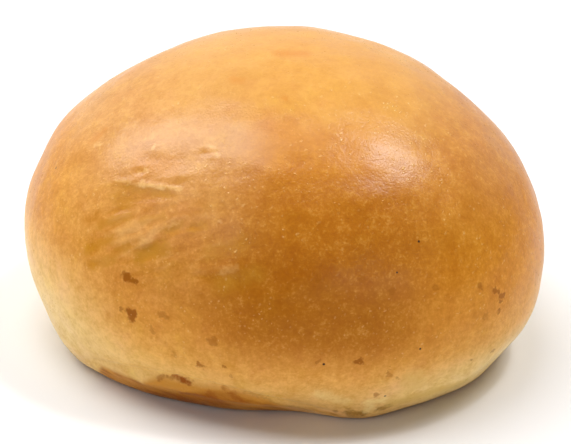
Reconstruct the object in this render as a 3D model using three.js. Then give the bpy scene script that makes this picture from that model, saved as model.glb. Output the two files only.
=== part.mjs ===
// A soft round bread roll, one piece of dough that was proved and baked on a flat tray.
// The form follows the baker's work. A ball of dough, a little fuller than an ellipsoid, spreads into a few
// wide lobes. Swells, hollows, creases and folds mark its skin. The ball then sinks onto the tray, which leaves
// it a flat base with a tight round edge, and the whole is brought to its measured length, width and height.
// The frame has +Z up and the front of the roll towards -Y, with the origin at the middle of the base.
import * as THREE from "three";
import { mergeVertices } from "three/addons/utils/BufferGeometryUtils.js";

// Driving dimensions, in millimetres.
const LENGTH = 94; // from left to right, along X
const WIDTH = 91; // from front to back, along Y
const HEIGHT = 53; // from the tray to the crown

// The ball of dough, in millimetres from its middle, which lies at its widest level.
const CROWN_RISE = 35.5;
const BELLY_DROP = 33;
const WIDEST_LEVEL = 18; // height of the middle above the tray
const CROWN_LEAN = new THREE.Vector2(-0.9, 0.1); // how far the crown stands off the middle
const FOOT_ROUNDING = 1.5; // height over which the skin turns onto the tray
const BALL_RADIUS = 43; // mean distance to the skin, which turns an angle into a length on the skin
const FULLNESS = 2.06; // exponent of the upright section, where 2 is an ellipse

// Lobes of the outline seen from above: how many, what share of the radius, and where one of them points.
const LOBES = [
  { count: 2, share: 0.022, around: -18 },
  { count: 3, share: 0.034, around: -35.5 },
];

// Marks in the skin. A mark lies at two angles in degrees: around from +X, seen from above, so that the front is
// at -90, and up from the widest level, so that the crown is at 90. Its half-length, half-width and height out of
// the skin are millimetres. It may be turned from level, in degrees, and bowed upwards, in 1/mm.
const SHOULDERS = [
  { around: 173, up: 28, long: 6, wide: 6, out: 0.4 }, // corner of the shoulder on the left
  { around: 146, up: 46, long: 11, wide: 11, out: -0.45 }, // flatter dough behind it
  { around: -160, up: -14, long: 7.5, wide: 7.5, out: -0.35 }, // straight flank below it
  { around: -32, up: -22, long: 6, wide: 6, out: -0.5 }, // right flank draws in
  { around: -26, up: -12, long: 6, wide: 6, out: 0.2 },
  { around: 34, up: -4, long: 16, wide: 14, out: 2.1 }, // the back is fuller on the right
  { around: 136, up: -3, long: 15, wide: 13, out: 1.5 }, // and on the left
  { around: 86, up: 0, long: 14, wide: 10, turn: -10, out: -0.9 }, // and a little flat between them
  { around: 60, up: 30, long: 12, wide: 8, turn: 20, out: 0.3 },
];
const WRINKLES = [
  { around: -129, up: 42, long: 8, wide: 2.4, turn: 5, out: -0.3 }, // hollow above the crease
  { around: -126, up: 37, long: 8.5, wide: 1, turn: 8, bow: 0.01, out: 0.45 }, // lip of the crease
  { around: -126, up: 33, long: 9, wide: 2.2, turn: 8, bow: 0.01, out: -0.45 }, // hollow under the lip
  { around: -126, up: 24, long: 6.5, wide: 1.4, turn: 38, out: 0.25 }, // three slanting ripples
  { around: -118, up: 27, long: 7, wide: 1.4, turn: 42, out: 0.25 },
  { around: -114, up: 20, long: 6, wide: 1.4, turn: 40, out: 0.2 },
  { around: -121, up: 20, long: 3.2, wide: 1.5, turn: 48, out: -0.5 }, // oval dent
  { around: -114, up: 48, long: 1.5, wide: 1.2, turn: 10, out: -0.25 }, // small pit
];
const FOOT_FOLDS = [
  { around: -150, up: -26, long: 6.8, wide: 6.8, out: 1 }, // corner of the foot on the left
  { around: -128, up: -33, long: 7.5, wide: 7.5, out: 0.25 },
  { around: -88, up: -32, long: 6.8, wide: 6.8, out: -0.7 }, // foot draws in at the front
  { around: -70, up: -33, long: 5.3, wide: 5.3, out: 0.75 }, // lump of gathered dough
  { around: -48, up: -33, long: 6.8, wide: 6.8, out: -0.25 },
  { around: -110, up: -17, long: 19, wide: 1.1, turn: -4, bow: -0.018, out: -0.55 }, // fold above the foot
  { around: -110, up: -22, long: 17, wide: 1.7, turn: -4, bow: -0.016, out: 0.45 }, // dough rolled under it
  { around: 76, up: -20, long: 15, wide: 1.2, turn: 3, bow: -0.015, out: -0.5 }, // the same at the back
  { around: 76, up: -25, long: 13, wide: 1.8, turn: 3, bow: -0.013, out: 0.4 },
];
const MARKS = [...SHOULDERS, ...WRINKLES, ...FOOT_FOLDS];

// The facets of the skin are those of an icosahedron whose edges are cut into EDGE_CUTS + 1 parts, drawn
// together by a share of the radius towards the wrinkled side.
const EDGE_CUTS = 22;
const FINER_SIDE = new THREE.Vector3(-0.5, -0.75, 0.43).normalize();
const DRAWN_TOGETHER = 0.25;

// Browned, glazed crust.
const CRUST_COLOUR = "#b97a2c";
const CRUST_ROUGHNESS = 0.45;

const UPWARDS = new THREE.Vector3(0, 0, 1);
const radians = THREE.MathUtils.degToRad;
const power = (base, exponent) => Math.sign(base) * Math.abs(base) ** exponent;

// The unit vector from the middle of the ball towards a place on the skin.
function towards({ around, up }) {
  const level = new THREE.Vector3(Math.cos(radians(around)), Math.sin(radians(around)), 0);
  return level.multiplyScalar(Math.cos(radians(up))).addScaledVector(UPWARDS, Math.sin(radians(up)));
}

// The skin of the unmarked ball in a direction: a superellipse upright, and its lobes seen from above.
function ballSkin(direction) {
  const around = Math.atan2(direction.y, direction.x);
  const spread = Math.hypot(direction.x, direction.y) ** (2 / FULLNESS);
  const height = power(direction.z, 2 / FULLNESS) * (direction.z > 0 ? CROWN_RISE : BELLY_DROP);
  const outline = LOBES.reduce(
    (sum, lobe) => sum + lobe.share * Math.cos(lobe.count * (around - radians(lobe.around))),
    1,
  );
  const lean = height / CROWN_RISE;
  return new THREE.Vector3(
    (LENGTH / 2) * outline * spread * Math.cos(around) + CROWN_LEAN.x * lean,
    (WIDTH / 2) * outline * spread * Math.sin(around) + CROWN_LEAN.y * lean,
    WIDEST_LEVEL + height,
  );
}

// How far a mark lifts the skin in a direction: a bell curve in both directions, measured on the plane that
// touches the ball at the mark.
function lift(mark, direction) {
  const middle = towards(mark);
  const nearness = direction.dot(middle);
  if (nearness <= 0) {
    return 0;
  }
  const level = UPWARDS.clone().cross(middle).normalize();
  const steep = middle.clone().cross(level);
  const right = (BALL_RADIUS * direction.dot(level)) / nearness;
  const above = (BALL_RADIUS * direction.dot(steep)) / nearness;
  const turn = radians(mark.turn ?? 0);
  const along = right * Math.cos(turn) + above * Math.sin(turn);
  const across = above * Math.cos(turn) - right * Math.sin(turn) - (mark.bow ?? 0) * along ** 2;
  return mark.out * Math.exp(-((along / mark.long) ** 2) - (across / mark.wide) ** 2);
}

// The height that is left after the ball has sunk onto the tray. Skin well below the tray lies flat on it, and
// a parabola joins the two over the rounding of the foot.
function settle(height) {
  if (height > FOOT_ROUNDING) {
    return height;
  }
  return Math.max(0, height + FOOT_ROUNDING) ** 2 / (4 * FOOT_ROUNDING);
}

// The even facets of the ball, with their shared corners merged.
function evenSkin() {
  const skin = new THREE.IcosahedronGeometry(1, EDGE_CUTS);
  skin.deleteAttribute("normal");
  skin.deleteAttribute("uv");
  return mergeVertices(skin);
}

// Moves and stretches the finished skin to the measured size, with the middle of the base at the origin.
function bringToSize(skin) {
  skin.computeBoundingBox();
  const { min, max } = skin.boundingBox;
  skin.translate(-(min.x + max.x) / 2, -(min.y + max.y) / 2, -min.z);
  skin.scale(LENGTH / (max.x - min.x), WIDTH / (max.y - min.y), HEIGHT / (max.z - min.z));
}

function breadRoll() {
  const skin = evenSkin();
  const corners = skin.getAttribute("position");
  const direction = new THREE.Vector3();
  for (let corner = 0; corner < corners.count; corner += 1) {
    direction.fromBufferAttribute(corners, corner);
    direction.addScaledVector(FINER_SIDE, DRAWN_TOGETHER).normalize();
    const raised = MARKS.reduce((sum, mark) => sum + lift(mark, direction), 0);
    const point = ballSkin(direction).addScaledVector(direction, raised);
    corners.setXYZ(corner, point.x, point.y, settle(point.z));
  }
  bringToSize(skin);
  skin.computeVertexNormals();
  const crust = new THREE.MeshStandardMaterial({
    color: CRUST_COLOUR,
    roughness: CRUST_ROUGHNESS,
    metalness: 0,
  });
  const roll = new THREE.Mesh(skin, crust);
  roll.name = "bread_roll";
  return roll;
}

const model = new THREE.Group();
model.add(breadRoll());

export default model;
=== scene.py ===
"""A soft round bread roll: one finely modelled skin with a golden, glazed crust, on a plain pale floor.

The roll's own sizes are millimetres, and MM turns them into the metres of the frame. A place on the skin is
given by two angles in degrees: around from +X, seen from above, so that the front is at -90, and up from the
widest level, so that the crown is at 90. A mark in the skin is a bell curve at such a place. Its half-length,
half-width and height out of the skin are millimetres, and it may be turned from level, in degrees, and bowed
upwards, in 1/mm.
"""

import bpy
import numpy as np
from mathutils import Matrix, Vector


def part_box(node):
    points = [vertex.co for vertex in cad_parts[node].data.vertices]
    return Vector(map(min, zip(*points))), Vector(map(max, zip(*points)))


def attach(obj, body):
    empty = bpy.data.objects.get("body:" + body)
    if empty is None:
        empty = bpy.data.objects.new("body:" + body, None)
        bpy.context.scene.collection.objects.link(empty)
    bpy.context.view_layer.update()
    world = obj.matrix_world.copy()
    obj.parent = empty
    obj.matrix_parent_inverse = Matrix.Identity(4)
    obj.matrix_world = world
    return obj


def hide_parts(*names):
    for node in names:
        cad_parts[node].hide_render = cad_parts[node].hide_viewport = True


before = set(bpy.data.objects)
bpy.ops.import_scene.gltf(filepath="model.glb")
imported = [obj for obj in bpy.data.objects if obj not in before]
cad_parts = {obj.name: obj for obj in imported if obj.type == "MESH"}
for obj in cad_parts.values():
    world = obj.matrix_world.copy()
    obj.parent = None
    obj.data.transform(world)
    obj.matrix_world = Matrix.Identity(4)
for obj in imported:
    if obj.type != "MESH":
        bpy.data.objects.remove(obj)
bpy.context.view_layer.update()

MM = 0.001
NODE = "bread_roll"
LOW, HIGH = (np.array(corner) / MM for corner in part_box(NODE))
LENGTH, WIDTH = (HIGH - LOW)[:2]

# The ball of dough, in millimetres from its middle, which lies at its widest level.
CROWN_RISE = 35.5
BELLY_DROP = 33.0
WIDEST_LEVEL = 18.0  # height of the middle above the tray
CROWN_LEAN = (-0.9, 0.1)  # how far the crown stands off the middle
FOOT_ROUNDING = 1.5  # height over which the skin turns onto the tray
BALL_RADIUS = 43.0  # mean distance to the skin, which turns an angle into a length on the skin
FULLNESS = 2.06  # exponent of the upright section, where 2 is an ellipse

# Lobes of the outline seen from above: how many, what share of the radius, and where one of them points.
LOBES = [
    dict(count=2, share=0.022, around=-18),
    dict(count=3, share=0.034, around=-35.5),
]

SHOULDERS = [
    dict(around=173, up=28, long=6, wide=6, out=0.45),  # corner of the shoulder on the left
    dict(around=146, up=46, long=11, wide=11, out=-1.1),  # flatter dough behind it
    dict(around=-177, up=8, long=7, wide=7, out=0.35),  # fuller above the flank
    dict(around=-32, up=-22, long=6, wide=6, out=-0.9),  # right flank draws in
    dict(around=-26, up=-12, long=6, wide=6, out=0.15),
    dict(around=34, up=-4, long=16, wide=14, out=2.1),  # the back is fuller on the right
    dict(around=136, up=-3, long=15, wide=13, out=1.5),  # and on the left
    dict(around=86, up=0, long=14, wide=10, turn=-10, out=-0.9),  # and a little flat between them
    dict(around=60, up=30, long=12, wide=8, turn=20, out=0.3),
    dict(around=62, up=64, long=7, wide=7, out=-0.35),  # the crown is flatter towards the back
    dict(around=100, up=64, long=8, wide=8, out=-0.6),
    dict(around=20, up=35, long=8, wide=8, out=-0.6),
    dict(around=-97, up=40, long=5, wide=8, out=0.3),  # soft ridge down the front
]
WRINKLES = [
    dict(around=-129.5, up=42.4, long=3.2, wide=1.7, turn=4, out=-0.12),  # hollow above the crease
    dict(around=-126.3, up=35.9, long=6, wide=0.65, turn=9, out=0.15),  # lip of the crease
    dict(around=-126.5, up=33.8, long=7.2, wide=1.4, turn=9, out=-0.09),  # hollow under the lip
    dict(around=-131.1, up=30.3, long=2.2, wide=1.5, turn=20, out=-0.15),
    dict(around=-131.5, up=25.5, long=3.8, wide=0.8, turn=39, out=0.1),  # three slanting ridges
    dict(around=-127.5, up=24, long=5, wide=0.9, turn=39, out=0.13),
    dict(around=-124.3, up=22.5, long=6, wide=0.9, turn=36, out=0.13),
    dict(around=-121, up=19.5, long=2.2, wide=1.2, turn=42, out=-0.33),  # oval dent and its upper rim
    dict(around=-122.6, up=21.2, long=1.9, wide=0.5, turn=45, out=0.14),
    dict(around=-116.4, up=26.1, long=1.2, wide=0.6, turn=40, out=-0.12),  # small hollows round about
    dict(around=-111.2, up=28.1, long=1.3, wide=0.7, turn=12, out=-0.11),
    dict(around=-118.6, up=14.9, long=1.4, wide=0.8, turn=20, out=-0.12),
    dict(around=-107.9, up=15.7, long=2, wide=0.9, turn=5, out=-0.1),
    dict(around=-102, up=16.6, long=2.3, wide=0.9, out=-0.12),
    dict(around=-134.1, up=12.2, long=1.2, wide=1, out=-0.12),
    dict(around=-135.9, up=16.4, long=1.3, wide=1.2, out=-0.12),
    dict(around=-102.2, up=18.9, long=2, wide=0.5, turn=12, out=0.07),  # raised edges above two of them
    dict(around=-108.8, up=17.6, long=1.8, wide=0.5, turn=12, out=0.06),
    dict(around=-115.9, up=47.1, long=0.7, wide=0.55, turn=10, out=-0.12),  # pit and its two raised edges
    dict(around=-113.2, up=48.8, long=1.0, wide=0.45, turn=10, out=0.07),
    dict(around=-112.3, up=46.5, long=0.9, wide=0.45, turn=20, out=0.07),
    dict(around=-131.1, up=38.3, long=0.9, wide=0.55, turn=20, out=-0.12),  # pock above the crease
]
FOOT_FOLDS = [
    dict(around=-150, up=-26, long=6.8, wide=6.8, out=1.2),  # corner of the foot on the left
    dict(around=-140, up=-32, long=6, wide=6, out=0.4),
    dict(around=-128, up=-33, long=7.5, wide=7.5, out=0.65),
    dict(around=-88, up=-32, long=6.8, wide=6.8, out=-0.8),  # foot draws in at the front
    dict(around=-70, up=-33, long=5.3, wide=5.3, out=1.0),  # lump of gathered dough
    dict(around=-60, up=-33, long=5, wide=5, out=-0.3),
    dict(around=-48, up=-33, long=6.8, wide=6.8, out=-0.25),
    dict(around=-110, up=-17, long=19, wide=1.0, turn=-4, bow=-0.018, out=-0.55),  # fold above the foot
    dict(around=-110, up=-22, long=17, wide=1.7, turn=-4, bow=-0.016, out=0.45),  # dough rolled under it
    dict(around=76, up=-20, long=15, wide=1.2, turn=3, bow=-0.015, out=-0.5),  # the same at the back
    dict(around=76, up=-25, long=13, wide=1.8, turn=3, bow=-0.013, out=0.4),
]

# Fine slanting ripples in the wrinkled part.
SLANT = 38  # degrees from level
RIPPLE_PLACE = (-121, 27)  # the place whose touching plane they run on
RIPPLE_PATCH = dict(around=-122, up=26, long=11, wide=10)  # where they show
RIPPLE_WAVES = 14
RIPPLE_LENGTHS = (1.6, 4.2)  # the shortest and the longest wave, in mm
RIPPLE_SPREAD = 12  # degrees by which a wave's slant typically differs
RIPPLE_BOW = 0.05  # radians by which a wave shifts for each mm along it
RIPPLE_HEIGHT = 0.013  # of one wave, in mm

# Unevenness of the dough all over: the size and typical height of its swells, in mm.
SWELLS = [
    dict(size=24, height=0.1, seed=1),
    dict(size=8, height=0.035, seed=2),
    dict(size=3, height=0.008, seed=3),
]

# The skin's quads: a cube's faces cut into QUADS by QUADS, drawn together towards the wrinkled side.
QUADS = 128
FINER_SIDE = np.array([-0.5, -0.75, 0.43])
DRAWN_TOGETHER = 0.35
EDGE_OF_VIEW = 0.05  # cosine of the angle past which a mark's touching plane is too far away


def towards(around, up):
    """The unit vector from the middle of the ball towards a place on the skin."""
    around, up = np.radians(around), np.radians(up)
    return np.array([np.cos(up) * np.cos(around), np.cos(up) * np.sin(around), np.sin(up)])


def unit(vectors):
    """The vectors divided by their lengths."""
    return vectors / np.linalg.norm(vectors, axis=-1, keepdims=True)


def ball_skin(direction):
    """The skin of the unmarked ball: a superellipse upright, spread by its lobes seen from above.

    With s the sine of the height angle, c its cosine and e = 2 / FULLNESS, the height is the rise or drop
    times s to the power e. The distance from the axis is half the length or width times c to the power e
    times 1 plus the lobes' cosines. The lean moves each level in proportion to its height.
    """
    around = np.arctan2(direction[:, 1], direction[:, 0])
    spread = np.hypot(direction[:, 0], direction[:, 1]) ** (2 / FULLNESS)
    rise = np.where(direction[:, 2] > 0, CROWN_RISE, BELLY_DROP)
    height = rise * np.sign(direction[:, 2]) * np.abs(direction[:, 2]) ** (2 / FULLNESS)
    outline = 1 + sum(
        lobe["share"] * np.cos(lobe["count"] * (around - np.radians(lobe["around"]))) for lobe in LOBES
    )
    lean = height / CROWN_RISE
    x = LENGTH / 2 * outline * spread * np.cos(around) + CROWN_LEAN[0] * lean
    y = WIDTH / 2 * outline * spread * np.sin(around) + CROWN_LEAN[1] * lean
    return np.stack([x, y, WIDEST_LEVEL + height], axis=1)


def on_plane(direction, around, up, turn=0):
    """Millimetres along and across, on the plane that touches the ball at a place, turned from level.

    The direction is lengthened until it meets the plane.
    """
    middle = towards(around, up)
    level = unit(np.cross((0, 0, 1), middle))
    steep = np.cross(middle, level)
    nearness = np.maximum(direction @ middle, EDGE_OF_VIEW)
    right = BALL_RADIUS * (direction @ level) / nearness
    above = BALL_RADIUS * (direction @ steep) / nearness
    cos, sin = np.cos(np.radians(turn)), np.sin(np.radians(turn))
    return right * cos + above * sin, above * cos - right * sin


def bell(direction, around, up, long, wide, turn=0, bow=0, out=1):
    """The height of a mark: out times e to the minus (along / long) squared plus (across / wide) squared.

    Bow times along squared is taken from across. The far side of the ball, which never meets the plane, has
    none of the mark.
    """
    along, across = on_plane(direction, around, up, turn)
    height = out * np.exp(-((along / long) ** 2) - ((across - bow * along**2) / wide) ** 2)
    return np.where(direction @ towards(around, up) > EDGE_OF_VIEW, height, 0.0)


def unevenness(direction, size, height, seed, waves=48):
    """Random relief in millimetres: cosines of many plane waves through the ball, added up.

    Each wave has a random axis and phase, and a length within a third of size. The sum is scaled so that
    height is its typical height.
    """
    draw = np.random.default_rng(seed)
    axes = unit(draw.normal(size=(waves, 3)))
    turns = 2 * np.pi / (size * draw.uniform(0.7, 1.35, waves))
    phases = draw.uniform(0, 2 * np.pi, waves)
    waves_sum = np.cos(BALL_RADIUS * direction @ (axes * turns[:, None]).T + phases).sum(axis=1)
    return height * np.sqrt(2 / waves) * waves_sum


def ripples(direction):
    """Fine slanting ripples in the wrinkled part of the skin.

    Waves whose crests run within a few degrees of one slant are added up on the touching plane, and a bell
    curve fades them out towards the edge of the part.
    """
    draw = np.random.default_rng(5)
    total = 0
    for _ in range(RIPPLE_WAVES):
        turn = SLANT + draw.normal(0, RIPPLE_SPREAD)
        along, across = on_plane(direction, *RIPPLE_PLACE, turn)
        length = draw.uniform(*RIPPLE_LENGTHS)
        phase = 2 * np.pi * (across + draw.uniform(0, length)) / length
        total = total + np.cos(phase + RIPPLE_BOW * along)
    return RIPPLE_HEIGHT * total * bell(direction, **RIPPLE_PATCH)


def settle(height):
    """The height left after the ball has sunk onto the tray.

    Skin well below the tray lies flat on it, and the parabola (h + r) squared over 4r joins the two, where r
    is the rounding of the foot.
    """
    turned = np.maximum(0, height + FOOT_ROUNDING) ** 2 / (4 * FOOT_ROUNDING)
    return np.where(height > FOOT_ROUNDING, height, turned)


def wrinkle_height(direction):
    """The summed height of the wrinkles alone, which the crust's colour follows: painted shade in its hollows
    and a painted highlight on its ridges.
    """
    return sum(bell(direction, **mark) for mark in WRINKLES) + ripples(direction)


def marked_skin(direction):
    """The ball's skin with its marks and unevenness pushed out along each direction, settled on the tray."""
    raised = sum(bell(direction, **mark) for mark in SHOULDERS + FOOT_FOLDS) + wrinkle_height(direction)
    for swell in SWELLS:
        raised = raised + unevenness(direction, **swell)
    points = ball_skin(direction) + direction * raised[:, None]
    points[:, 2] = settle(points[:, 2])
    return points


def ball_grid(count):
    """Unit vectors over a ball, and the quads that join them.

    Each of a cube's six faces carries a grid of two angles, a and b, even from -45 to 45 degrees. The
    direction is the face's normal plus tan a and tan b along its edges, made a unit vector. Corners that the
    faces share are merged.
    """
    tangent = np.tan(np.radians(np.linspace(-45, 45, count + 1)))
    a, b = (grid[..., None] for grid in np.meshgrid(tangent, tangent, indexing="ij"))
    corner = np.arange((count + 1) ** 2).reshape(count + 1, count + 1)
    corners = [corner[:-1, :-1], corner[1:, :-1], corner[1:, 1:], corner[:-1, 1:]]
    patch = np.stack(corners, axis=-1).reshape(-1, 4)
    directions, quads = [], []
    for axis in range(3):
        for side in (1, -1):
            normal = side * np.eye(3)[axis]
            first = np.eye(3)[(axis + 1) % 3]
            second = np.cross(normal, first)
            directions.append(unit(normal + a * first + b * second).reshape(-1, 3))
            quads.append(patch + len(quads) * corner.size)
    merged, place = np.unique(np.round(np.concatenate(directions), 7), axis=0, return_inverse=True)
    return unit(merged), place.ravel()[np.concatenate(quads)]


class Skin:
    """The finished skin of the roll: its grid, and the fit that brings it to the CAD solid's box."""

    def __init__(self):
        even, self.quads = ball_grid(QUADS)
        self.direction = unit(even + DRAWN_TOGETHER * unit(FINER_SIDE))
        points = marked_skin(self.direction)
        self.low, self.high = points.min(axis=0), points.max(axis=0)
        self.points = self.fit(points)

    def fit(self, points):
        """The points moved and stretched from the marked skin's box to the CAD solid's box, in metres."""
        return MM * (LOW + (points - self.low) * (HIGH - LOW) / (self.high - self.low))

    def place(self, around, up):
        """The point of the skin at a place, in metres."""
        return self.fit(marked_skin(towards(around, up)[None]))[0]


def make_mesh(name, points, faces):
    """A smooth mesh object of the points and faces."""
    mesh = bpy.data.meshes.new(name)
    mesh.from_pydata(points.tolist(), [], faces.tolist())
    mesh.polygons.foreach_set("use_smooth", np.ones(len(faces), bool))
    mesh.update()
    piece = bpy.data.objects.new(name, mesh)
    bpy.context.scene.collection.objects.link(piece)
    return piece


def set_attribute(piece, name, values):
    """Stores one number for each vertex under a name, for the material to read."""
    attribute = piece.data.attributes.new(name, "FLOAT", "POINT")
    attribute.data.foreach_set("value", np.ascontiguousarray(values, np.float32))


NOISE_SHIFT = np.array([31.7, 17.3, 53.1])  # mm between the places where two seeds' noises are taken


class Field:
    """A value that varies over a surface: a node's output, whose operators add Math nodes."""

    def __init__(self, graph, socket):
        self.graph = graph
        self.socket = socket

    def __add__(self, other):
        return self.graph.math("ADD", self, other)

    def __sub__(self, other):
        return self.graph.math("SUBTRACT", self, other)

    def __rsub__(self, other):
        return self.graph.math("SUBTRACT", other, self)

    def __mul__(self, other):
        return self.graph.math("MULTIPLY", self, other)

    __radd__ = __add__
    __rmul__ = __mul__


class Graph:
    """A node tree, and short ways to add its nodes."""

    def __init__(self, tree):
        self.tree = tree
        tree.nodes.clear()

    def node(self, kind, settings, inputs, output=0):
        """Adds a node, sets it up, gives its sockets their values or links, and returns one output."""
        node = self.tree.nodes.new(kind)
        for key, value in settings.items():
            setattr(node, key, value)
        for key, value in inputs.items():
            socket = self.find(node.inputs, key)
            if isinstance(value, Field):
                self.tree.links.new(value.socket, socket)
            else:
                socket.default_value = value
        return Field(self, self.find(node.outputs, output)) if node.outputs else None

    @staticmethod
    def find(sockets, key):
        """The socket at a place in the list, or with an identifier."""
        if isinstance(key, int):
            return sockets[key]
        return next(socket for socket in sockets if socket.identifier == key)

    def math(self, operation, *values):
        return self.node("ShaderNodeMath", {"operation": operation}, dict(enumerate(values)))

    def vector(self, operation, *values, output="Vector"):
        return self.node("ShaderNodeVectorMath", {"operation": operation}, dict(enumerate(values)), output)

    def scaled(self, vector, size):
        """A vector lengthened by a size."""
        sockets = {"Vector": vector, "Scale": size}
        return self.node("ShaderNodeVectorMath", {"operation": "SCALE"}, sockets, "Vector")

    def split(self, vector):
        return [self.node("ShaderNodeSeparateXYZ", {}, {"Vector": vector}, axis) for axis in "XYZ"]

    def step(self, value, start, end, low=0.0, high=1.0):
        """Eases from low to high as the value goes from start to end."""
        sockets = {"Value": value, "From Min": start, "From Max": end, "To Min": low, "To Max": high}
        return self.node("ShaderNodeMapRange", {"interpolation_type": "SMOOTHSTEP"}, sockets, "Result")

    def colour(self, share, first, second, blend="MIX"):
        """The first colour turned into the second by a share."""
        settings = {"data_type": "RGBA", "blend_type": blend}
        first, second = (c if isinstance(c, Field) else (*c, 1.0) for c in (first, second))
        sockets = {"Factor_Float": share, "A_Color": first, "B_Color": second}
        return self.node("ShaderNodeMix", settings, sockets, "Result_Color")

    def noise(self, place, size, detail=2.0, rough=0.5, seed=0):
        """Cloudy noise from about -1 to 1, in patches of a size."""
        moved = self.vector("ADD", place, tuple(seed * NOISE_SHIFT))
        sockets = {"Vector": moved, "Scale": 1 / size, "Detail": detail, "Roughness": rough}
        return self.node("ShaderNodeTexNoise", {}, sockets, 0) * 2.0 - 1.0

    def combined(self, x, y, z):
        return self.node("ShaderNodeCombineXYZ", {}, {"X": x, "Y": y, "Z": z}, "Vector")

    def blisters(self, place, spacing, least, most, share):
        """Tiny round blisters, 1 at their middles: one for each of a share of scattered points.

        A blister's radius, in mm, lies between the least and the most, by its cell's random colour, and its
        edge is soft.
        """
        soft = 0.06
        settings = {"voronoi_dimensions": "3D"}
        sockets = {"Vector": place, "Scale": 1 / spacing}
        away = self.node("ShaderNodeTexVoronoi", settings, sockets, "Distance") * spacing
        chance = self.node("ShaderNodeTexVoronoi", settings, sockets, "Color")
        size, luck = self.split(chance)[:2]
        radius = size * (most - least) + least
        there = self.step(luck, share + 0.05, share - 0.05)
        return self.step(away - radius, soft, -soft) * there

    def attribute(self, name):
        return self.node("ShaderNodeAttribute", {"attribute_name": name}, {}, "Fac")


# Colours of the crust, as shares of red, green and blue light that it returns.
CROWN_GOLD = (0.70, 0.325, 0.045)
# A paler gold, a painted highlight where the two sheens fall.
SHEEN_GOLD = (0.67, 0.37, 0.12)
DEEP_GOLD = (0.50, 0.165, 0.004)
BELT_GOLD = (0.60, 0.21, 0.005)
LEFT_GOLD = (0.67, 0.285, 0.05)
LOW_GOLD = (0.71, 0.272, 0.026)
FLANK_GOLD = (0.84, 0.42, 0.085)
PALE_DOUGH = (0.85, 0.515, 0.15)
CREAM = (0.90, 0.64, 0.25)
FOOT_TAN = (0.62, 0.27, 0.035)
PALE_TAN = (0.90, 0.52, 0.17)
TRAY_BROWN = (0.39, 0.13, 0.009)
# A darker brown of the foot: in streaks along its gathers, and painted as shade in its pocket and creases.
DARK_FOOT_BROWN_AND_SHADE = (0.33, 0.085, 0.003)
TOP_ORANGE = (0.62, 0.22, 0.012)
OLIVE_BROWN = (0.42, 0.20, 0.035)
OLIVE = (0.72, 0.46, 0.12)
# Paler dough with a painted highlight, on ridges and at small glints.
RIDGE_HIGHLIGHT = (0.86, 0.50, 0.17)
# A darker gold, painted as shade in the hollows of the wrinkled part.
SHADED_HOLLOW_GOLD = (0.53, 0.22, 0.012)
LIGHT_FLECK = (0.86, 0.46, 0.12)
TOAST = (0.36, 0.105, 0.002)
CHAR = (0.05, 0.02, 0.01)
# Paler blister colour, with a painted glint.
BLISTER_GLINT = (0.93, 0.56, 0.20)

# These multiply the colour: painted shade in the hollows of the wrinkled part and down the middle of the
# belt, and patches all over.
CREASE_SHADE = (0.86, 0.78, 0.22)
# Painted shade: a plain darkening down the middle of the belt.
MIDDLE_SHADE = (0.95, 0.92, 0.92)
DARKER = (0.82, 0.72, 0.46)
LIGHTER = (1.12, 1.2, 1.5)
YELLOWER = (0.99, 1.03, 0.75)
PINKER = (1.0, 0.95, 1.2)

# The bands of browning: they sag towards both sides, in 1/mm, lean from left to right, and waver, in mm, with
# the patches and mottle of the crust. The deepest part lies right of the middle, in mm.
BAND_SAG = 0.0032
BAND_LEAN = 0.06
BAND_WAVER = dict(patches=2.2, mottle=0.9)
BELT_MIDDLE = 5.0

# Coats of browning, laid on pale dough one after another. A coat has a tint and the ranges over which it
# comes in. It has a share unless it is whole, and a way to blend unless it covers as paint does. A range is
# in mm: across from left to right, back from the middle, height above the tray, level up through the wavy
# bands, and aside from the middle of the belt, squared.
DEEPEST = [("aside", 480.0, 50.0), ("level", 12.0, 21.0), ("level", 53.0, 44.0)]
SHADED_VALLEY = [("aside", 180.0, 20.0), ("level", 40.0, 44.0), ("level", 51.0, 46.0)]  # painted shade between the two sheens
LEFT_SHEEN = [("across", 2.0, -14.0), ("level", 30.0, 39.0), ("level", 62.0, 52.0)]  # painted highlight: paler gold at the sheens
RIGHT_SHEEN = [("across", 14.0, 28.0), ("level", 26.0, 38.0), ("level", 56.0, 47.0)]
BROWNING = [
    dict(tint=FLANK_GOLD, ranges=[("level", 5.0, 12.0)]),
    dict(tint=LOW_GOLD, ranges=[("level", 8.5, 21.0)]),
    dict(tint=BELT_GOLD, ranges=[("level", 20.0, 33.0)]),
    dict(tint=DEEP_GOLD, share=0.9, ranges=DEEPEST),
    # Painted shade down the middle of the belt.
    dict(tint=MIDDLE_SHADE, blend="MULTIPLY", ranges=[("aside", 480.0, 50.0), ("level", 40.0, 32.0)]),
    dict(tint=CREAM, ranges=[("across", 10.0, 32.0), ("height", 15.0, 5.0)]),
    dict(tint=LEFT_GOLD, share=0.8, ranges=[("across", -6.0, -20.0), ("level", 14.0, 26.0)]),
    dict(tint=FLANK_GOLD, share=0.45, ranges=[("across", -24.0, -44.0)]),
    dict(tint=BELT_GOLD, share=0.6, ranges=[("across", -33.0, -45.0), ("height", 20.0, 30.0)]),
    dict(tint=CREAM, ranges=[("across", -22.0, -41.0), ("height", 30.0, 5.0)]),
    dict(tint=CROWN_GOLD, ranges=[("level", 40.0, 52.0)]),
    # Painted shade: deeper gold between the two sheens, where no sheen falls.
    dict(tint=BELT_GOLD, share=0.7, ranges=SHADED_VALLEY),
    # Painted highlight: paler gold where the two sheens fall.
    dict(tint=SHEEN_GOLD, share=0.3, ranges=LEFT_SHEEN),
    dict(tint=SHEEN_GOLD, share=0.13, ranges=RIGHT_SHEEN),
]

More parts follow.
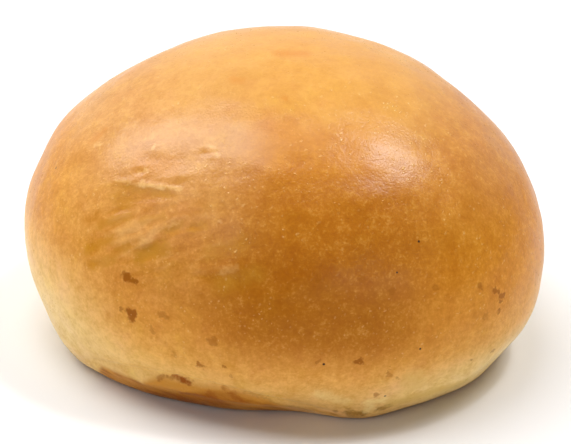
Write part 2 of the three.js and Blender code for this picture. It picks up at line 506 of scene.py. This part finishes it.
# The same for the foot, on FOOT_TAN.
FOOT_BROWNING = [
    dict(tint=TRAY_BROWN, ranges=[("across", -30.0, -17.0)]),
    dict(tint=FOOT_TAN, ranges=[("across", -12.0, -1.0)]),
    dict(tint=PALE_TAN, ranges=[("across", -3.0, 10.0), ("back", 5.0, -5.0)]),
]

# Streaks of colour in the wrinkled part.
STREAK_PLACE = (-122, 25)  # the place whose touching plane they run on
STREAK_LONG = 6.0  # mm
STREAK_WIDE = 1.6
CREASED_PATCH = dict(around=-122, up=24, long=13, wide=10)  # where they show

# Blisters of the glaze: their spacing, least and greatest radius in mm, and what share of the places has one.
BLISTERS = dict(spacing=0.8, least=0.07, most=0.21, share=0.75)

# Relief too fine for the skin: the height of each noise and of the blisters, in mm.
RELIEF = dict(grain=0.018, pebble=0.010, mottle=0.022)
BLISTER_HEIGHT = 0.045

WANDER = 1.9  # mm by which the edges of strokes and freckles wander
BARE_GLOSS = 0.10  # specular level of the bare crust
GLAZE_GLOSS = 0.48  # and of the glaze

# Toasted freckles: around, up, radius in mm and depth of colour. The longer ones are several dabs.
FRECKLES = [
    (-125.2, 11.6, 0.95, 1.0),
    (-123.6, 11.2, 0.75, 0.95),
    (-123.6, 2.0, 0.95, 1.0),
    (-123.4, 0.9, 0.7, 0.95),
    (-126.0, 2.3, 0.5, 0.7),
    (-116.3, 3.9, 0.75, 0.45),
    (-115.6, 3.5, 0.6, 0.45),
    (-118.9, -1.2, 0.6, 0.35),
    (-105.0, -1.0, 0.8, 0.5),
    (-113.8, -7.6, 0.6, 0.3),
    (-108.2, -9.4, 0.55, 0.75),
    (-107.6, -9.8, 0.45, 0.7),
    (-102.5, -8.7, 0.4, 0.7),
    (-101.4, -11.8, 0.35, 0.4),
    (-74.3, -4.7, 0.6, 0.95),
    (-73.6, -4.6, 0.55, 0.95),
    (-82.2, -4.4, 0.4, 0.5),
    (-67.3, -10.0, 0.6, 0.5),
    (-66.4, -10.3, 0.45, 0.45),
    (-68.8, -18.4, 0.6, 0.55),
    (-64.9, -12.2, 0.35, 0.4),
    (-67.2, -7.2, 0.25, 0.4),
    (-67, -8.6, 0.25, 0.4),
    (-46.5, 10.8, 0.6, 0.6),
    (-42.4, 8.0, 0.65, 0.8),
    (-41.6, 7.2, 0.6, 0.8),
    (-40.6, 5.6, 0.7, 0.8),
    (-41.1, 4.2, 0.5, 0.7),
    (-41.4, 1.8, 0.55, 0.75),
    (-45.4, 2.2, 0.6, 0.35),
    (-57.1, 13.8, 0.5, 0.35),
    (-66.6, 14.3, 0.65, 0.45),
    (-72.9, 17.7, 0.6, 0.3),
    (-82.5, 17.6, 0.5, 0.3),
    (-47.5, -11.7, 0.4, 0.6),
    (-40.7, -12.0, 0.5, 0.5),
]
BACK_FRECKLES = 18  # more of them round the back, drawn at random

# Charred specks, in the same terms.
SPECKS = [
    (-81.1, -5.3, 0.22, 1.0),
    (-61.0, -2.3, 0.18, 1.0),
    (-58.7, 25.8, 0.2, 1.0),
    (-65.1, 18.9, 0.16, 1.0),
    (-66.7, -19.2, 0.2, 0.8),
    (-159.3, 27.7, 0.25, 0.6),
]

# Strokes of colour, painted one tint after another. Each runs through places of the skin, and has a radius in
# mm and a depth.
STROKES = [
    (
        SHADED_HOLLOW_GOLD,
        [
            ([(-133.4, 31.5), (-130.7, 29)], 1.9, 0.5),  # painted shade: darker gold in the hollows of the wrinkled part
            ([(-134.7, 22.4), (-128.5, 27)], 0.8, 0.6),
            ([(-136.3, 15.1), (-131.1, 19.6)], 0.8, 0.6),
            ([(-134.5, 10.9), (-129.2, 15.4)], 0.8, 0.5),
            ([(-122.7, 17.7), (-118.2, 21.5)], 1.2, 0.95),
            ([(-128.6, 17.4), (-126.4, 19)], 0.7, 0.5),
            ([(-124.4, 26.6), (-120.4, 29.2)], 0.7, 0.5),
            ([(-118, 25.8), (-115.2, 27.9)], 0.75, 0.6),
            ([(-112.1, 27.5), (-109.4, 29)], 0.8, 0.5),
            ([(-107, 22.2), (-99.3, 25.5)], 1.3, 0.5),
            ([(-103.3, 14.6), (-95.9, 18.4)], 1.5, 0.6),
            ([(-132.7, 33.6), (-129, 33.9), (-124.6, 34.6), (-120.5, 35.2)], 0.75, 0.65),
        ],
    ),
    (
        TOP_ORANGE,
        [
            ([(-132.3, 40.2), (-124.3, 41.6)], 2.0, 0.5),  # warmer blotches above the crease
            ([(-152.9, 40), (-152.3, 43.4)], 0.8, 0.5),
            ([(-114.3, 48.2), (-113.5, 48.4)], 0.5, 0.7),
        ],
    ),
    (
        RIDGE_HIGHLIGHT,
        # Painted highlights and glints on ridges, over paler dough.
        [
            ([(-132.4, 19.9), (-126.7, 24)], 0.4, 0.2),  # painted highlights on the ridges between the hollows, over paler dough
            ([(-125.2, 20.4), (-121.2, 23)], 0.4, 0.25),
            ([(-118.6, 17.6), (-116.2, 20.2)], 0.4, 0.2),
            ([(-150.2, 39.5), (-148.8, 40.4)], 0.4, 0.5),
            ([(-131.7, 45.1), (-132, 45.9)], 0.25, 0.6),
            ([(-117.8, 27.1), (-116.1, 28.3)], 0.4, 0.25),
            ([(-114.2, 49), (-110.6, 47)], 0.5, 0.45),
            ([(-129.2, 39.4), (-131.5, 38.3)], 0.3, 0.5),
            ([(-103.7, 17.6), (-100.4, 19.6)], 0.5, 0.2),
            ([(-100.7, 34.9), (-100.2, 35.3)], 0.3, 0.45),
            ([(-105.8, 30.3), (-105.4, 30.5)], 0.25, 0.4),
            ([(-136, 34.4), (-132.7, 35), (-129.8, 35.4)], 0.3, 0.4),  # pale lip of the crease, with a painted highlight along it
            ([(-129.8, 35.4), (-126.4, 35.9), (-123.1, 36.2)], 0.36, 0.8),
            ([(-123.1, 36.2), (-117.5, 37)], 0.3, 0.55),
        ],
    ),
    (
        TOP_ORANGE,
        [
            ([(-105, 84.6), (-50, 84.6)], 1.3, 0.7),  # faint stains on the crown
            ([(-124, 70.5), (-121, 70.6)], 1.0, 0.5),
            ([(-91.5, 66.3), (-90.3, 66.3)], 0.5, 0.6),
        ],
    ),
    (
        TRAY_BROWN,
        [
            ([(-77, -27.5), (-76.8, -27)], 0.45, 0.6),  # stain at the lump of dough
            ([(-74.4, -24.8), (-74.0, -25.4)], 0.35, 0.5),
            ([(-103.8, -18.3), (-103.2, -18.5)], 0.5, 0.6),
        ],
    ),
    (
        DARK_FOOT_BROWN_AND_SHADE,
        [
            ([(-119.6, -19.6), (-117.8, -18.2), (-115.1, -17.6)], 0.35, 0.6),  # painted shade in the pocket under the fold
            ([(-115.1, -17.6), (-113.8, -18.0), (-111.8, -18.5)], 0.6, 1.0),
            ([(-115.2, -24.2), (-110.8, -23.4), (-109.0, -24.0)], 0.6, 0.6),
            ([(-106.9, -20.9), (-104.8, -24.7)], 0.55, 0.6),  # painted shade in the creases of the browned foot
            ([(-102.1, -20.1), (-99.3, -23.3)], 0.55, 0.7),
        ],
    ),
    (
        OLIVE_BROWN,
        [
            ([(-98.4, -19.6), (-95.8, -20.2), (-93.5, -22), (-91.4, -24.5), (-89.2, -26.3)], 0.28, 0.5),
            ([(-89.2, -26.3), (-85.4, -27.7), (-82.3, -29.4)], 0.4, 0.5),
            ([(-73.6, -27.7), (-70.5, -28)], 0.8, 1.0),
            ([(-66.7, -26.2), (-64.7, -25.6)], 0.7, 1.0),
        ],
    ),
    (
        CREAM,
        [
            ([(-69.3, -26.6), (-69.2, -23.5), (-70.2, -21.7)], 0.7, 0.9),
            ([(-70.2, -21.7), (-66.6, -21.3)], 0.8, 0.9),
            ([(-81.4, -17.7), (-75.5, -20.9)], 1.1, 0.6),
        ],
    ),
    (
        OLIVE,
        [
            ([(-64.1, -23.8), (-58.8, -22.6), (-53, -21.2), (-44.8, -23)], 1.2, 0.7),
            ([(-61.6, -13.4), (-60.5, -15)], 2.0, 0.5),
        ],
    ),
]

# Heights above the tray, in mm, below which the foot is tan or brown, at angles around the front.
TAN_EDGE = [(-126, 0.5), (-124, 4.8), (-120.3, 6.7), (-117.8, 7.5), (-111.5, 7.3), (-103, 7.4), (-98.4, 6.6)]
TAN_EDGE += [(-93.5, 5.4), (-89, 3.3), (-80, 0.5)]
BROWN_EDGE = [(-141, 0.5), (-137, 4.4), (-126.5, 5), (-124, 3.7), (-116, 3.7), (-111.5, 5.6), (-106, 6.5)]
BROWN_EDGE += [(-99.5, 6.7), (-93.5, 5.4), (-89, 3.3), (-80, 2.9), (-75, 3.4), (-73, 0.5)]
EDGE_ELSEWHERE = 0.5

# The foot's arch round the back: where its middle is, its height there, and its drop at an angle from there.
ARCH_AROUND = 76
ARCH_HEIGHT = 5.2
ARCH_DROP = 3
ARCH_DROP_AWAY = 40


def back_freckles():
    """Freckles of random places, radii and depths round the back, low on the flank as at the front."""
    draw = np.random.default_rng(11)
    lows, highs = (-15, -13, 0.35, 0.35), (165, 16, 0.85, 0.9)
    return draw.uniform(lows, highs, (BACK_FRECKLES, 4)).tolist()


class Crust:
    """The glazed crust: golden, deeper in a belt, pale low on the flank and brown at the foot.

    The places and noises that its layers share are made first. Each layer then takes the colour so far and
    returns the next.
    """

    def __init__(self, skin):
        self.skin = skin
        self.material = bpy.data.materials.new("glazed_crust")
        self.material.use_nodes = True
        self.graph = graph = Graph(self.material.node_tree)
        metres = graph.node("ShaderNodeTexCoord", {}, {}, "Object")
        self.place = place = graph.vector("MULTIPLY", metres, (1 / MM, 1 / MM, 1 / MM))
        self.noises = {
            "patches": graph.noise(place, 14, detail=2.0, seed=1),
            "mottle": graph.noise(place, 3.2, detail=3.0, rough=0.6, seed=2),
            "pebble": graph.noise(place, 1.0, detail=2.0, rough=0.6, seed=4),
            "grain": graph.noise(place, 0.42, detail=1.0, rough=0.6, seed=3),
        }
        drift = graph.noise(place, 5.0, detail=3.0, rough=0.6, seed=6)
        self.warmth = drift + self.stirred(pebble=0.3)
        x, y, z = graph.split(place)
        level = z - x * x * BAND_SAG + x * BAND_LEAN + self.stirred(**BAND_WAVER)
        aside = (x - BELT_MIDDLE) * (x - BELT_MIDDLE)
        self.ways = {"across": x, "back": y, "height": z, "level": level, "aside": aside}
        self.wandering = graph.vector("MULTIPLY_ADD", self.wander(), (WANDER, WANDER, WANDER), place)
        self.toasted = self.dabs(self.wandering, FRECKLES + back_freckles())
        self.blister = self.blistered()

        colour = self.coated(PALE_DOUGH, BROWNING)
        colour = self.creased(self.speckled(colour))
        colour = self.painted(self.footed(colour))
        # Blisters paler in colour, with their glint painted in.
        self.glaze(graph.colour(self.blister * 0.6, colour, BLISTER_GLINT))

    def stirred(self, **shares):
        """The crust's noises added up, each times its share."""
        return sum(self.noises[name] * share for name, share in shares.items())

    def eased(self, ranges, share=1.0):
        """The share times the steps over the ranges, each along one of the ways."""
        for way, start, end in ranges:
            share = self.graph.step(self.ways[way], start, end) * share
        return share

    def coated(self, colour, coats):
        """The colour under coats of browning."""
        for coat in coats:
            share = self.eased(coat["ranges"], coat.get("share", 1.0))
            colour = self.graph.colour(share, colour, coat["tint"], coat.get("blend", "MIX"))
        return colour

    def wander(self):
        """Random vectors that change slowly over the skin, about zero."""
        sockets = {"Vector": self.place, "Scale": 1.0, "Detail": 2.0}
        cloudy = self.graph.node("ShaderNodeTexNoise", {}, sockets, "Color")
        return self.graph.vector("SUBTRACT", cloudy, (0.5, 0.5, 0.5))

    def blistered(self):
        """The blisters, in clusters, at places pushed about by the pebbling."""
        warp = self.stirred(pebble=0.5)
        warped = self.graph.vector("ADD", self.place, self.graph.combined(warp, warp, warp))
        clusters = self.graph.step(self.warmth + self.noises["patches"], -0.3, 0.8, low=0.15)
        return self.graph.blisters(warped, **BLISTERS) * clusters

    def speckled(self, colour):
        """Mottles the colour darker and lighter, yellower and pinker, with pale flecks below the crown."""
        graph, level = self.graph, self.ways["level"]
        fading = graph.step(level, 40.0, 51.0, low=1.0, high=0.5)
        speckle = self.stirred(mottle=0.9, pebble=0.7, grain=0.45) * fading + self.stirred(patches=0.4)
        shade = graph.colour(graph.step(speckle, -1.0, 1.0), DARKER, LIGHTER)
        colour = graph.colour(1.0, colour, shade, "MULTIPLY")
        flecks = graph.step(self.stirred(mottle=0.6, pebble=0.8, grain=0.7), 0.0, 1.3, high=0.45)
        colour = graph.colour(flecks * graph.step(level, 50.0, 38.0), colour, LIGHT_FLECK)
        colour = graph.colour(graph.step(self.warmth, 0.0, 0.7, high=0.8), colour, YELLOWER, "MULTIPLY")
        return graph.colour(graph.step(self.warmth, 0.0, -0.7, high=0.8), colour, PINKER, "MULTIPLY")

    def streaks(self):
        """Noise drawn out along the slant of the wrinkles."""
        graph, slant = self.graph, np.radians(SLANT)
        middle = towards(*STREAK_PLACE)
        level = unit(np.cross((0, 0, 1), middle))
        steep = np.cross(middle, level)
        along = level * np.cos(slant) + steep * np.sin(slant)
        across = steep * np.cos(slant) - level * np.sin(slant)
        axes = (along, across)
        run, rise = (graph.vector("DOT_PRODUCT", self.place, tuple(axis), output="Value") for axis in axes)
        drawn = graph.combined(run * (STREAK_WIDE / STREAK_LONG), rise, 0.0)
        return graph.noise(drawn, STREAK_WIDE, detail=3.0, rough=0.6, seed=8)

    def creased(self, colour):
        """Paints shade into the hollows of the wrinkled part, darker and yellower, and a highlight onto its
        ridges.
        """
        graph = self.graph
        streaked = graph.attribute("creased") * (self.streaks() * 2.0 + self.stirred(mottle=0.8))
        creases = graph.attribute("wrinkle") * 6.0 + streaked
        # painted shade in the hollows, darker and yellower
        colour = graph.colour(graph.step(creases, 0.1, -0.8, high=0.7), colour, CREASE_SHADE, "MULTIPLY")
        # painted highlight on the ridges, over paler dough
        return graph.colour(graph.step(creases, 0.0, 1.0, high=0.3), colour, RIDGE_HIGHLIGHT)

    def footed(self, colour):
        """Tans and browns the foot under its ragged edges, streaked by its gathers, and browns the base."""
        graph = self.graph
        ragged = self.stirred(mottle=0.4, grain=0.2)
        tan = graph.step(graph.attribute("under_tan_edge") + ragged, -1.0, 1.2)
        colour = graph.colour(tan, colour, FOOT_TAN)

        across, back, height = (self.ways[way] for way in ("across", "back", "height"))
        slanted = graph.combined(across * 0.25, back * 0.25, height + across * 0.3)
        gathers = graph.noise(slanted, 1.3, detail=3.0, seed=9)
        base = graph.step(height + ragged * 0.3, 0.4, 0.0)
        brown = graph.colour(base, self.coated(FOOT_TAN, FOOT_BROWNING), TRAY_BROWN)
        shade = graph.colour(graph.step(gathers, -0.35, 0.35), DARKER, LIGHTER)
        brown = graph.colour(1.0, brown, shade, "MULTIPLY")
        brown = graph.colour(graph.step(gathers, 0.0, -0.5, high=0.6), brown, DARK_FOOT_BROWN_AND_SHADE)
        foot = graph.step(graph.attribute("under_brown_edge") + ragged + gathers * 0.6, -0.5, 1.1)
        return graph.colour(graph.math("MAXIMUM", foot, base), colour, brown)

    def strokes(self, place, marks):
        """The strongest of strokes with soft edges, each a chain of straight parts between places.

        A part's nearest point is its start plus the share of its run that the place has covered, from 0 to 1.
        """
        graph, deepest = self.graph, 0.0
        for places, radius, depth in marks:
            points = [self.skin.place(around, up) / MM for around, up in places]
            for start, end in zip(points, points[1:]):
                run = end - start
                offset = graph.vector("SUBTRACT", place, tuple(start))
                covered = graph.vector("DOT_PRODUCT", offset, tuple(run / (run @ run)), output="Value")
                covered = graph.math("MINIMUM", graph.math("MAXIMUM", covered, 0.0), 1.0)
                away = graph.vector("DISTANCE", offset, graph.scaled(tuple(run), covered), output="Value")
                dab = graph.step(away, 1.8 * radius, 0.2 * radius, high=depth)
                deepest = graph.math("MAXIMUM", dab, deepest)
        return deepest

    def dabs(self, place, marks):
        """The strongest of round dabs with soft edges, each at a place with its radius and depth."""
        graph, deepest = self.graph, 0.0
        for around, up, radius, depth in marks:
            centre = self.skin.place(around, up) / MM
            away = graph.vector("DISTANCE", place, tuple(centre), output="Value")
            dab = graph.step(away, 1.35 * radius, 0.65 * radius, high=depth)
            deepest = graph.math("MAXIMUM", dab, deepest)
        return deepest

    def painted(self, colour):
        """Paints the strokes, broken up by the noises, then the toasted freckles and the charred specks."""
        broken = self.stirred(pebble=0.8, mottle=0.6, grain=0.5)
        broken = self.graph.step(broken, -0.8, 0.4, low=0.5, high=1.1)
        for tint, marks in STROKES:
            colour = self.graph.colour(self.strokes(self.wandering, marks) * broken, colour, tint)
        colour = self.graph.colour(self.toasted, colour, TOAST)
        return self.graph.colour(self.dabs(self.place, SPECKS), colour, CHAR)

    def glaze(self, colour):
        """Finishes the crust: bare and glazed shaders with one relief, mixed by how thick the glaze is."""
        graph, level, across = self.graph, self.ways["level"], self.ways["across"]
        height = self.stirred(**RELIEF) + self.blister * BLISTER_HEIGHT
        sockets = {"Strength": 1.0, "Distance": MM, "Height": height}
        bumped = graph.node("ShaderNodeBump", {}, sockets, "Normal")
        roughness = graph.step(self.stirred(mottle=1.0, grain=0.5), -1.0, 1.0, low=0.27, high=0.36)
        roughness = roughness * (1.0 - self.blister * 0.65)
        looks = {"Base Color": colour, "Roughness": roughness, "Normal": bumped}
        bare, glazed = (
            graph.node("ShaderNodeBsdfPrincipled", {}, {**looks, "Specular IOR Level": gloss}, "BSDF")
            for gloss in (BARE_GLOSS, GLAZE_GLOSS)
        )
        thick = graph.step(level, 22.0, 36.0) * graph.step(across * across, 2000.0, 1100.0)
        thick = thick * (1.0 - self.toasted) * (1.0 - self.eased(SHADED_VALLEY) * 0.5)
        shader = graph.node("ShaderNodeMixShader", {}, {0: thick, 1: bare, 2: glazed}, "Shader")
        graph.node("ShaderNodeOutputMaterial", {}, {"Surface": shader})


def under_edge(skin, edge):
    """How far each point lies under an edge of the foot, in mm.

    The edge's height runs straight from one of its points to the next. A second arch runs round the back and
    falls with the square of the angle from its middle.
    """
    around = np.degrees(np.arctan2(skin.direction[:, 1], skin.direction[:, 0]))
    front = np.interp(around, *np.transpose(edge), left=EDGE_ELSEWHERE, right=EDGE_ELSEWHERE)
    away = np.abs((around - ARCH_AROUND + 180) % 360 - 180)
    back = ARCH_HEIGHT - ARCH_DROP * (away / ARCH_DROP_AWAY) ** 2
    return np.maximum(front, back) - skin.points[:, 2] / MM


def make_roll():
    """The roll: the skin's mesh with its crust, in place of the CAD solid."""
    skin = Skin()
    roll = make_mesh("roll_skin", skin.points, skin.quads)
    set_attribute(roll, "wrinkle", wrinkle_height(skin.direction))
    set_attribute(roll, "creased", bell(skin.direction, **CREASED_PATCH))
    set_attribute(roll, "under_tan_edge", under_edge(skin, TAN_EDGE))
    set_attribute(roll, "under_brown_edge", under_edge(skin, BROWN_EDGE))
    roll.data.materials.append(Crust(skin).material)
    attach(roll, "root")
    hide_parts(NODE)


FLOOR_HALF = 2.5  # half its width, in metres
FLOOR_COLOUR = (0.86, 0.86, 0.86, 1)
AIR_NEAR = 0.09  # brightness of the surroundings on the camera's side
AIR_BEHIND = 0.8  # and behind the roll


def make_floor():
    """A wide, plain, pale floor at the level that the roll rests on."""
    corners = FLOOR_HALF * np.array([(-1, -1, 0), (1, -1, 0), (1, 1, 0), (-1, 1, 0)])
    floor = make_mesh("floor", corners, np.array([[0, 1, 2, 3]]))
    material = bpy.data.materials.new("pale_floor")
    material.use_nodes = True
    graph = Graph(material.node_tree)
    sockets = {"Base Color": FLOOR_COLOUR, "Roughness": 0.9}
    paint = graph.node("ShaderNodeBsdfPrincipled", {}, sockets, "BSDF")
    graph.node("ShaderNodeOutputMaterial", {}, {"Surface": paint})
    floor.data.materials.append(material)


# Softboxes: direction from the roll, width and height in metres, and brightness in watts.
LAMP_AWAY = 0.9  # metres
SOFTBOXES = {
    "left_softbox": ((-0.41, 0.11, 0.90), (0.43, 0.94), 7.3),
    "right_softbox": ((0.43, 0.11, 0.90), (0.29, 0.35), 3.1),
    "right_bulb": ((0.35, 0.05, 0.93), (0.05, 0.06), 1.0),
    "left_side_softbox": ((-0.92, 0.18, 0.35), (0.4, 0.5), 0.3),
    "front_left_softbox": ((-0.62, -0.60, 0.50), (0.6, 0.5), 1.1),
    "front_right_softbox": ((0.50, -0.84, 0.20), (0.6, 0.3), 0.75),
}


def make_softboxes():
    """Rectangular lamps that face the roll from their directions."""
    for name, (direction, size, power) in SOFTBOXES.items():
        light = bpy.data.lights.new(name, "AREA")
        light.shape = "RECTANGLE"
        light.size, light.size_y = size
        light.energy = power
        lamp = bpy.data.objects.new(name, light)
        direction = Vector(direction).normalized()
        lamp.location = direction * LAMP_AWAY
        lamp.rotation_euler = direction.to_track_quat("Z", "Y").to_euler()
        lamp.visible_camera = False
        bpy.context.scene.collection.objects.link(lamp)


def make_surroundings():
    """Pale surroundings, brighter behind the roll than on the camera's side."""
    world = bpy.data.worlds.new("studio")
    world.use_nodes = True
    bpy.context.scene.world = world
    graph = Graph(world.node_tree)
    direction = graph.node("ShaderNodeTexCoord", {}, {}, "Generated")
    y = graph.split(direction)[1]
    bright = graph.step(y, 0.0, 0.9, low=AIR_NEAR, high=AIR_BEHIND)
    sockets = {"Color": (1, 1, 1, 1), "Strength": bright}
    air = graph.node("ShaderNodeBackground", {}, sockets, "Background")
    graph.node("ShaderNodeOutputWorld", {}, {"Surface": air})


# The camera looks along +Y and down on the roll, turned a little about its own axis.
CAMERA_ABOVE = 26.0  # degrees above level
CAMERA_AWAY = 300 * MM
CAMERA_TURN = -2.03  # degrees
CAMERA_AIM = Vector((0.26, 0, 17.83)) * MM
CAMERA_LENS = 101.95  # mm, for a picture 36 mm wide


def make_camera():
    """A camera with its axes worked out from its height angle and its turn."""
    above, turn = np.radians(CAMERA_ABOVE), np.radians(CAMERA_TURN)
    back = Vector((0, -np.cos(above), np.sin(above)))
    level, steep = Vector((1, 0, 0)), Vector((0, np.sin(above), np.cos(above)))
    right = level * np.cos(turn) - steep * np.sin(turn)
    up = level * np.sin(turn) + steep * np.cos(turn)
    data = bpy.data.cameras.new("camera")
    data.lens = CAMERA_LENS
    data.clip_start = 10 * MM
    camera = bpy.data.objects.new("camera", data)
    turned = Matrix((right, up, back)).transposed().to_4x4()
    camera.matrix_world = Matrix.Translation(CAMERA_AIM + back * CAMERA_AWAY) @ turned
    bpy.context.scene.collection.objects.link(camera)
    bpy.context.scene.camera = camera


make_camera()
make_roll()
make_floor()
make_softboxes()
make_surroundings()
bpy.context.scene.view_settings.view_transform = "Standard"
